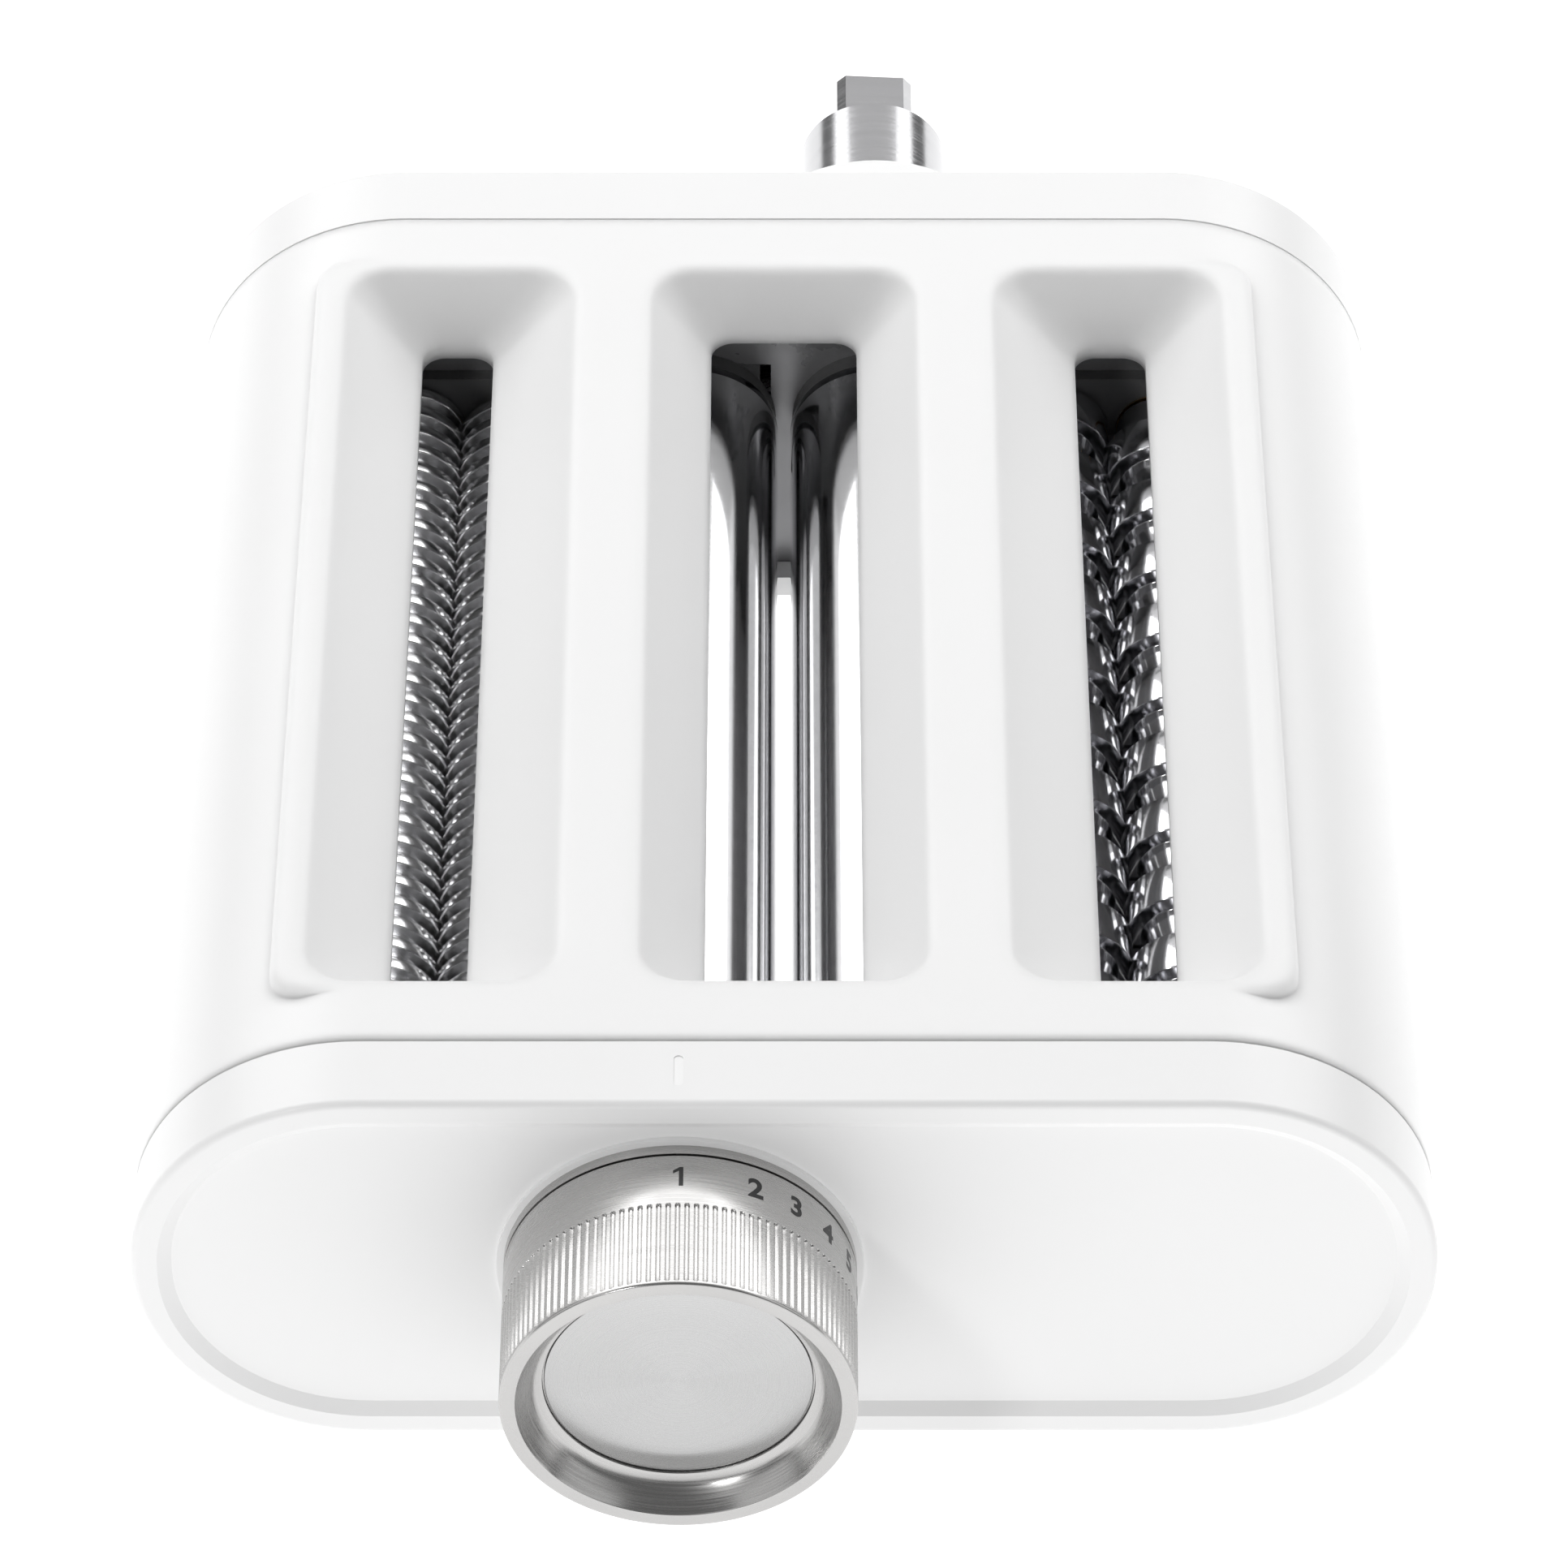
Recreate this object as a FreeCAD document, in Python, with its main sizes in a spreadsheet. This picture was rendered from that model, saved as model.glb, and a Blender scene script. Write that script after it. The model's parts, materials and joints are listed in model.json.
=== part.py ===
"""Pasta roller and cutter attachment for a stand mixer, in millimetres.

Frame: +X to the right, +Y from the thickness knob to the drive tang, +Z up. The origin is under the
middle of the whole object, on the plane that the lower shell stands on.

Along Y, from the front: knob, front cover with the adjuster, front plate, rollers and cutters under
their three wells, rear plate, two gear planes, rear cover, hub sleeve and square tang.
"""

import FreeCAD, Part
import math
import os
import re

import Sketcher
from FreeCAD import Placement, Rotation, Vector

# Driving dimensions: alias, millimetres (degrees for angles), meaning.
DIMENSIONS = [
    ("body_width", 170, "width of the shells and covers"),
    ("body_height", 62.5, "height of the shells and covers"),
    ("body_mid", -15.25, "Y of the middle of the body"),
    ("body_half", 95, "half the length over both covers"),
    ("corner_radius", 30.5, "round sides of the body"),
    ("cover_depth", 11.3, "length of each end cover"),
    ("seam_gap", 0.35, "gap between shell and cover"),
    ("wall", 2.4, "shell and cover wall"),
    ("floor_wall", 3.5, "floor round the exit openings"),
    ("edge_round", 1.0, "outer edge of the end covers"),
    ("split_height", 20, "joint between upper and lower shell"),
    ("rim_width", 3.5, "rim round the recessed front face"),
    ("rim_slope", 1.8, "sloped step from rim to face"),
    ("face_recess", 1.15, "depth of the recessed front face"),
    ("spigot", 4, "cover spigot inside the shells"),
    ("spigot_wall", 1.7, "thickness of that spigot"),
    ("axis_height", 31.5, "height of every roller axis"),
    ("roller_axis", 13.5, "X of the smooth roller axes"),
    ("roller_radius", 12.57, "smooth rollers"),
    ("roller_length", 146.4, "smooth rollers and cutters"),
    ("cutter_mid", 46.8, "X of each cutter nip"),
    ("cutter_half", 7.68, "half the spacing of a cutter pair"),
    ("cutter_radius", 8.15, "cutter discs"),
    ("cutter_core", 5.95, "cutter core between discs"),
    ("disc_clearance", 0.05, "side clearance of interleaved discs"),
    ("fine_count", 36, "discs on each fine cutter"),
    ("wide_count", 11, "discs on each wide cutter"),
    ("well_half", 72.1, "half length of the well openings"),
    ("slot_half", 69, "half length of the slots"),
    ("well_corner", 6, "plan radius of a well opening"),
    ("slot_corner", 3.3, "plan radius of a slot"),
    ("well_round", 1.6, "round edge of a well opening"),
    ("mid_well_half", 19.3, "half width of the middle well"),
    ("mid_slot_half", 10.4, "half width of the middle slot"),
    ("mid_slot_height", 52.3, "height of the middle slot"),
    ("side_well_inner", 29.2, "inner edge of a side well"),
    ("side_well_outer", 62.9, "outer edge of a side well"),
    ("side_slot_half", 5.1, "half width of a side slot"),
    ("side_slot_height", 50.7, "height where a side slot turns upright"),
    ("slot_lip", 2.2, "upright lip of a side slot"),
    ("funnel_wall", 2.0, "thickness of the funnel walls"),
    ("pad_outer", 66.8, "outer edge of the level pad by a side well"),
    ("pad_end", 1.3, "level end of that pad beyond the well"),
    ("pad_round", 1.5, "round top edge of that pad"),
    ("mid_exit_half", 12, "half width of the middle exit"),
    ("side_exit_half", 9, "half width of a side exit"),
    ("plate_half", 75.9, "body middle to the plates' inner faces"),
    ("plate", 2, "support plate thickness"),
    ("boss_radius", 12.3, "round bosses behind the roller ends"),
    ("running", 0.03, "radial clearance of a running fit"),
    ("shaft_left", 5, "radius of the left roller shaft"),
    ("shaft_right", 6, "radius of the drive shaft in the roller"),
    ("shaft_hub", 7.3, "radius of the drive shaft in the hub"),
    ("shaft_cutter", 4, "radius of the cutter journals"),
    ("bush_wall", 2, "wall of the bushes"),
    ("window_half", 10, "half size of the sliding block's window part"),
    ("travel", 1.5, "travel of the sliding roller"),
    ("flange", 1.8, "thickness of the sliding blocks' flanges"),
    ("slide_gap", 0.1, "gap beside sliding faces"),
    ("rod_radius", 2, "carriage rods and scraper bar"),
    ("upper_rod_x", -22, "upper carriage rod"),
    ("upper_rod_z", 48.5, "upper carriage rod"),
    ("lower_rod_x", -25.5, "lower carriage rod"),
    ("lower_rod_z", 10.5, "lower carriage rod"),
    ("spacer_x", 70, "spacer tubes and assembly screws"),
    ("spacer_low", 25, "lower spacer tubes"),
    ("spacer_high", 38, "upper spacer tubes"),
    ("gear_width", 4.5, "face width of every gear"),
    ("gear_gap", 0.7, "gap between the gear planes"),
    ("roller_module", 1.7, "module of the roller gears"),
    ("roller_teeth", 15, "teeth of the roller gears"),
    ("cutter_module", 1.28, "module of the cutter gears"),
    ("drive_teeth", 28, "teeth of the cutter drive gear"),
    ("cutter_teeth", 12, "teeth of the cutter gears"),
    ("idler_teeth", 22, "teeth of the idler"),
    ("idler_stud", 3, "radius of the idler stud"),
    ("hub_boss", 22, "radius of the rear boss"),
    ("hub_boss_length", 14, "length of the rear boss"),
    ("sleeve_radius", 10.92, "radius of the hub sleeve"),
    ("sleeve_length", 27, "hub sleeve beyond the boss"),
    ("sleeve_seat", 11.8, "hub sleeve inside the boss"),
    ("sleeve_bore", 9, "bore of the hub sleeve"),
    ("tang", 11.3, "width of the square tang"),
    ("tang_corner", 14.2, "width over its chamfered corners"),
    ("tang_length", 13.25, "length of the tang"),
    ("tang_turn", 3, "rest angle of the tang"),
    ("knob_radius", 23, "thickness knob"),
    ("knob_gap", 0.2, "gap behind the knob"),
    ("knob_reach", 23.75, "knob front beyond the cover's rim"),
    ("bezel_front", 0.95, "bezel front beyond the cover's rim"),
    ("bezel_height", 1.45, "length of the bezel ring"),
    ("collar_extra", 0.9, "collar radius beyond the knob"),
    ("skirt", 8.5, "smooth numbered skirt of the knob"),
    ("flute_depth", 0.55, "depth of the grip flutes"),
    ("flute_count", 120, "number of grip flutes"),
    ("knob_rim", 20.8, "inner radius of the knob's front rim"),
    ("disc_radius", 17.5, "turned disc in the knob's face"),
    ("disc_depth", 4.5, "depth of that disc below the rim"),
    ("spindle_radius", 5, "knob spindle"),
    ("cam_radius", 14.5, "scroll cam"),
    ("cam_width", 4, "scroll cam thickness"),
    ("groove_start", 11, "groove radius at setting 1"),
    ("groove_depth", 2.6, "depth of the groove"),
    ("pin_radius", 1.5, "follower pin"),
    ("first_step", 25.5, "dial angle from 1 to 2"),
    ("dial_step", 15.5, "dial angle between later numbers"),
    ("dial_numbers", 8, "numbers on the dial"),
    ("mark_width", 1.25, "index mark"),
    ("mark_length", 5.4, "index mark"),
]
D = {alias: float(size) for alias, size, _ in DIMENSIONS}

ALONG_Y = Rotation(Vector(1, 0, 0), -90)
UPRIGHT = Rotation(Vector(1, 0, 0), 90)
LONG_CUT = 400

doc = FreeCAD.newDocument("pasta_roller_attachment")
nodes = {}


def make_sheet():
    """The driving dimensions, one alias to a row."""
    sheet = doc.addObject("Spreadsheet::Sheet", "Dims")
    for row, (alias, size, meaning) in enumerate(DIMENSIONS, start=1):
        sheet.set(f"A{row}", meaning)
        sheet.set(f"B{row}", str(size))
        sheet.setAlias(f"B{row}", alias)
    doc.recompute()


def formula(text):
    """A formula of aliases as the document reads it."""
    return re.sub(r"[a-z][a-z0-9_]*", lambda m: f"Dims.{m[0]}" if m[0] in D else m[0], str(text))


def bind(item, **sizes):
    for name, text in sizes.items():
        item.setExpression(name, formula(text))
    return item


def place(item, x, y, z, rotation=None):
    if rotation:
        item.Placement = Placement(Vector(), rotation)
    for axis, text in zip("xyz", (x, y, z)):
        item.setExpression(f"Placement.Base.{axis}", formula(text))
    return item


def rod(name, radius, length, x, y, z, rotation=ALONG_Y):
    """A cylinder, along +Y unless it is turned."""
    item = doc.addObject("Part::Cylinder", name)
    bind(item, Radius=radius, Height=length)
    return place(item, x, y, z, rotation)


def block(name, x, y, z, dx, dy, dz, rotation=None):
    """A box from its low corner."""
    item = doc.addObject("Part::Box", name)
    bind(item, Length=dx, Width=dy, Height=dz)
    return place(item, x, y, z, rotation)


def merge(name, parts):
    item = doc.addObject("Part::MultiFuse", name)
    item.Shapes = parts
    item.Refine = True
    return item


def cut(name, base, tools):
    item = doc.addObject("Part::Cut", name)
    item.Base = base
    item.Tool = tools[0] if len(tools) == 1 else merge(name + "_tools", tools)
    return item


def common(name, first, second):
    item = doc.addObject("Part::Common", name)
    item.Base = first
    item.Tool = second
    return item


def ring(name, outer, inner, length, x, y, z):
    bore = rod(name + "_bore", inner, f"{length} + 2", x, f"{y} - 1", z)
    return cut(name, rod(name + "_outer", outer, length, x, y, z), [bore])


def group(name, parts):
    item = doc.addObject("Part::Compound", name)
    item.Links = parts
    return item


def feature(name, shape):
    item = doc.addObject("Part::Feature", name)
    item.Shape = shape
    return item


def node(name, item):
    item.Label = name
    nodes[name] = item
    return item


def rounded(name, half_width, half_height, radius, x, y, z, rotation=UPRIGHT):
    """Sketch of a rounded rectangle centred on a point; its sizes are formulas."""
    sketch = doc.addObject("Sketcher::SketchObject", name)
    w, v, r = 20.0, 12.0, 4.0
    centres = [(w - r, r - v), (w - r, v - r), (r - w, v - r), (r - w, r - v)]
    turns = [-90, 0, 90, 180]
    lines = [((r - w, -v), (w - r, -v)), ((w, r - v), (w, v - r)),
             ((w - r, v), (r - w, v)), ((-w, v - r), (-w, r - v))]
    for (start, end), (cx, cy), turn in zip(lines, centres, turns):
        sketch.addGeometry(Part.LineSegment(Vector(*start, 0), Vector(*end, 0)), False)
        circle = Part.Circle(Vector(cx, cy, 0), Vector(0, 0, 1), r)
        first, last = math.radians(turn), math.radians(turn + 90)
        sketch.addGeometry(Part.ArcOfCircle(circle, first, last), False)
    for index in range(8):
        sketch.addConstraint(Sketcher.Constraint("Tangent", index, 2, (index + 1) % 8, 1))
    for index, kind in ((0, "Horizontal"), (2, "Vertical"), (4, "Horizontal"), (6, "Vertical")):
        sketch.addConstraint(Sketcher.Constraint(kind, index))
    for index in (3, 5, 7):
        sketch.addConstraint(Sketcher.Constraint("Equal", 1, index))
    sketch.addConstraint(Sketcher.Constraint("Symmetric", 1, 3, 5, 3, -1, 1))
    drivers = [
        (Sketcher.Constraint("Radius", 1, r), "corner", radius),
        (Sketcher.Constraint("DistanceX", -1, 1, 1, 3, w - r), "across", f"{half_width} - ({radius})"),
        (Sketcher.Constraint("DistanceY", 1, 3, -1, 1, v - r), "up", f"{half_height} - ({radius})"),
    ]
    for constraint, label, text in drivers:
        index = sketch.addConstraint(constraint)
        sketch.renameConstraint(index, label)
        sketch.setExpression(f"Constraints.{label}", formula(text))
    return place(sketch, x, y, z, rotation)


def section(name, inset, y, length):
    """The body's cross-section, inset by a distance, extruded towards +Y."""
    sketch = rounded(name + "_sketch", f"body_width / 2 - ({inset})", f"body_height / 2 - ({inset})",
                     f"corner_radius - ({inset})", 0, y, "body_height / 2")
    item = doc.addObject("Part::Extrusion", name)
    item.Base = sketch
    item.DirMode = "Custom"
    item.Dir = Vector(0, 1, 0)
    item.Solid = True
    return bind(item, LengthFwd=length)


def loft(name, sections):
    item = doc.addObject("Part::Loft", name)
    item.Sections = sections
    item.Solid = True
    item.Ruled = True
    return item


def funnel(name, x, top, bottom, extra="0"):
    """A tapering rectangle: top and bottom are (half width, half length, corner, height)."""
    flat = Rotation()
    ends = [
        rounded(f"{name}_{index}", f"{half} + {extra}", f"{long} + {extra}", f"{corner} + {extra}",
                middle, "body_mid", height, flat)
        for index, (middle, half, long, corner, height) in enumerate((x[:1] + top, x[1:] + bottom))
    ]
    return loft(name, ends)


def rounding(name, base, radius, chosen):
    """Round those edges of base that the test picks."""
    doc.recompute()
    item = doc.addObject("Part::Fillet", name)
    item.Base = base
    size = D[radius]
    item.Edges = [
        (index, size, size) for index, edge in enumerate(base.Shape.Edges, start=1) if chosen(edge)
    ]
    return item


# ---------------------------------------------------------------- white housing

def well(name, sign):
    """Cutting tool and wall of one well; sign -1 is left, 0 the middle, 1 right."""
    if sign == 0:
        top = ("mid_well_half", "well_half", "well_corner", "body_height")
        bottom = ("mid_slot_half", "slot_half", "slot_corner", "mid_slot_height")
        middles = ("0", "0")
        depth = "1"
        half = "mid_slot_half"
    else:
        top = ("(side_well_outer - side_well_inner) / 2", "well_half", "well_corner", "body_height")
        bottom = ("side_slot_half", "slot_half", "slot_corner", "side_slot_height")
        middles = (f"{sign} * (side_well_outer + side_well_inner) / 2", f"{sign} * cutter_mid")
        depth = "slot_lip"
        half = "side_slot_half"
    opening = funnel(name + "_opening", middles, top, bottom)
    wall_top = top[:3] + ("body_height - wall / 2",)
    outside = funnel(name + "_outside", middles, wall_top, bottom, "funnel_wall")
    flat = Rotation()
    lips = []
    for part, extra in (("slot", "0"), ("collar", "funnel_wall")):
        sketch = rounded(f"{name}_{part}_sketch", f"{half} + {extra}", f"slot_half + {extra}",
                         f"slot_corner + {extra}", middles[1], "body_mid", f"{bottom[3]} - {depth}", flat)
        item = doc.addObject("Part::Extrusion", f"{name}_{part}")
        item.Base = sketch
        item.DirMode = "Custom"
        item.Dir = Vector(0, 0, 1)
        item.Solid = True
        lips.append(bind(item, LengthFwd=depth))
    return [opening, lips[0]], [outside, lips[1]]


def pad(name, sign):
    """Level pad on the round shoulder beside a side well."""
    half = "(pad_outer - side_well_inner) / 2"
    sketch = rounded(name + "_sketch", half, "well_half + pad_end + pad_round", "5",
                     f"{sign} * (pad_outer + side_well_inner) / 2", "body_mid",
                     "body_height - 3 * wall", Rotation())
    item = doc.addObject("Part::Extrusion", name + "_block")
    item.Base = sketch
    item.DirMode = "Custom"
    item.Dir = Vector(0, 0, 1)
    item.Solid = True
    bind(item, LengthFwd="3 * wall")
    top = D["body_height"]
    return rounding(name, item, "pad_round",
                    lambda e: min(v.Z for v in e.Vertexes) > top - 0.01)


def upper_shell():
    y, length = "body_mid - body_half + cover_depth + seam_gap", "2 * (body_half - cover_depth - seam_gap)"
    outer = section("upper_outer", "0", y, length)
    inner = section("upper_inner", "wall", f"{y} - 1", f"{length} + 2")
    skin = cut("upper_skin", outer, [inner])
    openings, walls = [], []
    for name, sign in (("left_well", -1), ("middle_well", 0), ("right_well", 1)):
        hole, wall = well(name, sign)
        openings += hole
        walls += wall
    pads = [pad("left_pad", -1), pad("right_pad", 1)]
    body = merge("upper_body", [skin] + walls + pads)
    below = block("upper_below", -200, -200, -100, LONG_CUT, LONG_CUT, "split_height + 100")
    opened = cut("upper_opened", body, openings + [below])
    top = D["body_height"]
    mid, half = D["body_mid"], D["well_half"]

    def rim(edge):
        """Edges of the well openings, which lie inside the top plane."""
        box = edge.BoundBox
        inside = abs(box.Center.x) < D["side_well_outer"] + 0.01
        return box.ZMin > top - 0.01 and inside and mid - half - 0.01 < box.YMin and box.YMax < mid + half + 0.01

    node("upper_shell", rounding("upper_shell", opened, "well_round", rim))


def lower_shell():
    y, length = "body_mid - body_half + cover_depth + seam_gap", "2 * (body_half - cover_depth - seam_gap)"
    outer = section("lower_outer", "0", y, length)
    inner = section("lower_inner", "wall", f"{y} - 1", f"{length} + 2")
    floor = block("floor_slab", -200, "body_mid - plate_half + 0.2", -1, LONG_CUT, "2 * plate_half - 0.4",
                  "floor_wall + 1")
    cavity = cut("lower_cavity", inner, [floor])
    above = block("lower_above", -200, -200, "split_height", LONG_CUT, LONG_CUT, 100)
    exits = [
        block(f"exit_{index}", f"{x} - {half}", "body_mid - well_half", -1, f"2 * {half}", "2 * well_half", 10)
        for index, (x, half) in enumerate(
            (("0", "mid_exit_half"), ("-cutter_mid", "side_exit_half"), ("cutter_mid", "side_exit_half")))
    ]
    node("lower_shell", cut("lower_shell", outer, [cavity, above] + exits))


def front_cover():
    front = "body_mid - body_half"
    outer = section("front_outer", "0", front, "cover_depth")
    face = D["body_mid"] - D["body_half"]
    eased = rounding("front_eased", outer, "edge_round", lambda e: e.BoundBox.YMax < face + 0.01)
    recess = loft("front_recess", [
        rounded("recess_rim", "body_width / 2 - rim_width", "body_height / 2 - rim_width",
                "corner_radius - rim_width", 0, front, "body_height / 2"),
        rounded("recess_floor", "body_width / 2 - rim_width - rim_slope",
                "body_height / 2 - rim_width - rim_slope", "corner_radius - rim_width - rim_slope",
                0, f"{front} + face_recess", "body_height / 2"),
    ])
    hollow = section("front_hollow", "wall", f"{front} + face_recess + wall", "cover_depth")
    spigot = merge("front_spigots", [
        ring_section("front_rebate", "wall / 2", f"{front} + cover_depth - 3", "3"),
        ring_section("front_spigot", "wall + 0.05", f"{front} + cover_depth - 3", "spigot + 3"),
    ])
    collar = rod("knob_collar", "knob_radius + collar_extra", "face_recess - bezel_height + bezel_front + 1",
                 "-roller_axis", "body_mid - body_half - bezel_front + bezel_height", "axis_height")
    bearing = rod("spindle_boss", "spindle_radius + 2 * bush_wall", "5",
                  "-roller_axis", f"{front} + face_recess + 1", "axis_height")
    leaf_post = block("leaf_post", "-roller_axis - 15.5", f"{front} + face_recess + 1", "axis_height + 12.4",
                      5, 11.1, 2.6)
    posts = [
        rod(f"front_post_{index}", 4.5, "cover_depth + 5.8 - face_recess - wall + 1", x,
            f"{front} + face_recess + wall - 1", z)
        for index, (x, z) in enumerate(SCREW_PLACES)
    ]
    threads = [
        rod(f"front_thread_{index}", 1.9, "cover_depth + 5.8 - 6 + 2", x, f"{front} + 6", z)
        for index, (x, z) in enumerate(SCREW_PLACES)
    ]
    bore = rod("spindle_bore", "spindle_radius + bush_wall", 30, "-roller_axis", f"{front} - 10", "axis_height")
    mark = index_slot("mark_slot", "body_height - 0.35", "1")
    hollowed = cut("front_hollowed", eased, [recess, hollow])
    filled = merge("front_filled", [hollowed, spigot, collar, bearing, leaf_post] + posts)
    node("front_cover", cut("front_cover", filled, threads + [bore, mark]))
    node("index_mark", index_slot("index_mark", "body_height - 0.35", "0.2"))


def index_slot(name, z, height):
    """Round-ended bar above the knob."""
    sketch = rounded(name + "_sketch", "mark_width / 2", "mark_length / 2", "mark_width / 2 - 0.01",
                     "-roller_axis", "body_mid - body_half + 6.1", z, Rotation())
    item = doc.addObject("Part::Extrusion", name)
    item.Base = sketch
    item.DirMode = "Custom"
    item.Dir = Vector(0, 0, 1)
    item.Solid = True
    return bind(item, LengthFwd=height)


def ring_section(name, inset, y, length):
    """Ring that follows the body's outline, down to the spigot's inner wall."""
    outer = section(name + "_outer", inset, y, length)
    inner = section(name + "_inner", "wall + 0.05 + spigot_wall", f"{y} - 1", f"{length} + 2")
    return cut(name, outer, [inner])


def rear_cover():
    start, back = "body_mid + body_half - cover_depth", "body_mid + body_half"
    outer = section("rear_outer", "0", start, "cover_depth")
    face = D["body_mid"] + D["body_half"]
    eased = rounding("rear_eased", outer, "edge_round", lambda e: e.BoundBox.YMin > face - 0.01)
    hollow = section("rear_hollow", "wall", f"{start} - 1", "cover_depth - wall + 1")
    spigot = merge("rear_spigots", [
        ring_section("rear_rebate", "wall / 2", start, "3"),
        ring_section("rear_spigot", "wall + 0.05", f"{start} - spigot", "spigot + 3"),
    ])
    boss = rod("hub_boss_rod", "hub_boss", "hub_boss_length + wall", "roller_axis",
               f"{back} - wall", "axis_height")
    tip = D["body_mid"] + D["body_half"] + D["hub_boss_length"]
    boss = rounding("hub_boss_eased", boss, "edge_round", lambda e: e.BoundBox.YMin > tip - 0.01)
    posts = [
        rod(f"rear_post_{index}", 4.8, "cover_depth + 5.8 - 0.5", x, f"{start} - 5.8", z)
        for index, (x, z) in enumerate(SCREW_PLACES)
    ]
    clear = [
        rod(f"rear_clear_{index}", 2.1, 40, x, f"{start} - 10", z)
        for index, (x, z) in enumerate(SCREW_PLACES)
    ]
    sinks = [
        rod(f"rear_sink_{index}", 3.7, 10, x, f"{back} - 2.8", z)
        for index, (x, z) in enumerate(SCREW_PLACES)
    ]
    stud_boss = rod("stud_boss", "idler_stud + 3", 2, *idler_place(f"{back} - wall - 1.5"))
    stud_hole = rod("stud_hole", "idler_stud", 3, *idler_place(f"{back} - wall - 1.9"))
    bore = rod("sleeve_bore_cut", "sleeve_seat", 30, "roller_axis", f"{back} - 10", "axis_height")
    hollowed = cut("rear_hollowed", eased, [hollow])
    filled = merge("rear_filled", [hollowed, spigot, boss, stud_boss] + posts)
    node("rear_cover", cut("rear_cover", filled, clear + sinks + [stud_hole, bore]))


SCREW_PLACES = [
    (x, z) for x in ("-spacer_x", "spacer_x") for z in ("spacer_low", "spacer_high")
]


# ---------------------------------------------------------------- frame inside

def plates():
    """Front and rear support plates with their windows and bores."""
    for name, face, sign in (("front_plate", "body_mid - plate_half - plate", -1),
                             ("rear_plate", "body_mid + plate_half", 1)):
        sheet = section(name + "_sheet", "wall + 0.2", face, "plate")
        low = f"{face} - 1"
        tools = [
            block(name + "_window", "-roller_axis - window_half - slide_gap", low,
                  "axis_height - window_half - 0.05", "2 * window_half + travel + 2 * slide_gap", 4,
                  "2 * window_half + 0.1"),
            rod(name + "_right_bore", 9, 4, "roller_axis", low, "axis_height"),
            rod(name + "_bar", "rod_radius", 4, "-lower_rod_x", low, "lower_rod_z"),
        ]
        for index, x in enumerate(CUTTER_AXES):
            tools.append(rod(f"{name}_cutter_{index}", "shaft_cutter + bush_wall", 4, x, low, "axis_height"))
        for index, (x, z) in enumerate(SCREW_PLACES):
            tools.append(rod(f"{name}_screw_{index}", 2.1, 4, x, low, z))
        for part, x, z in (("upper", "upper_rod_x", "upper_rod_z"), ("lower", "lower_rod_x", "lower_rod_z")):
            tools.append(block(f"{name}_{part}_slot", f"{x} - rod_radius - 0.2", low, f"{z} - rod_radius - 0.2",
                               "2 * rod_radius + travel + 0.4", 4, "2 * rod_radius + 0.4"))
        node(name, cut(name, sheet, tools))


CUTTER_AXES = [
    "-cutter_mid - cutter_half", "-cutter_mid + cutter_half",
    "cutter_mid - cutter_half", "cutter_mid + cutter_half",
]


def spacers_and_screws():
    tubes, screws = [], []
    front = "body_mid - body_half"
    back = "body_mid + body_half"
    for index, (x, z) in enumerate(SCREW_PLACES):
        tubes.append(ring(f"spacer_{index}", 3, 2.1, "2 * plate_half", x, "body_mid - plate_half", z))
        shank = rod(f"screw_shank_{index}", 1.9, "2 * body_half - 6 - 2.7", x, f"{front} + 6", z)
        head = rod(f"screw_head_{index}", 3.4, 2, x, f"{back} - 2.8", z)
        slot = block(f"screw_slot_{index}", f"{x} - 2.6", f"{back} - 1.6", f"{z} - 0.5", 5.2, 2, 1)
        screws.append(cut(f"screw_{index}", merge(f"screw_blank_{index}", [shank, head]), [slot]))
    node("spacer_tubes", group("spacer_tubes", tubes))
    node("assembly_screws", group("assembly_screws", screws))


def fixed_bearings():
    """Round bearing housings and bushes of the right roller, and the cutter bushes."""
    housings, bushes, small = [], [], []
    boss_start = "roller_length / 2 + 0.1"
    for sign, end in ((-1, "front"), (1, "rear")):
        low = f"body_mid + {boss_start}" if sign > 0 else "body_mid - plate_half"
        boss = rod(f"right_boss_{end}", "boss_radius", "plate_half - roller_length / 2 - 0.1",
                   "roller_axis", low, "axis_height")
        start = "body_mid + plate_half - 1" if sign > 0 else "body_mid - plate_half - plate - 1.5"
        neck = rod(f"right_neck_{end}", 9, "plate + 2.5", "roller_axis", start, "axis_height")
        flange_y = "body_mid + plate_half + plate" if sign > 0 else "body_mid - plate_half - plate - 1.5"
        rim = rod(f"right_rim_{end}", 10.2, 1.5, "roller_axis", flange_y, "axis_height")
        bore = rod(f"right_bore_{end}", "shaft_right + bush_wall", 20, "roller_axis",
                   f"body_mid + {sign} * plate_half - 10", "axis_height")
        housings.append(cut(f"right_housing_{end}", merge(f"right_blank_{end}", [boss, neck, rim]), [bore]))
        bush_y = f"body_mid + {boss_start}" if sign > 0 else "body_mid - plate_half - plate - 1.5"
        bushes.append(ring(f"right_bush_{end}", "shaft_right + bush_wall", "shaft_right + running",
                           "plate_half + plate + 1.5 - roller_length / 2 - 0.1", "roller_axis", bush_y,
                           "axis_height"))
        for index, x in enumerate(CUTTER_AXES):
            y = "body_mid + plate_half - 2.3" if sign > 0 else "body_mid - plate_half - plate - 1.2"
            small.append(ring(f"cutter_bush_{end}_{index}", "shaft_cutter + bush_wall",
                              "shaft_cutter + running", "plate + 3.5", x, y, "axis_height"))
    node("right_bearing_housings", group("right_bearing_housings", housings))
    node("right_roller_bushes", group("right_roller_bushes", bushes))
    node("cutter_bushes", group("cutter_bushes", small))


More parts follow.
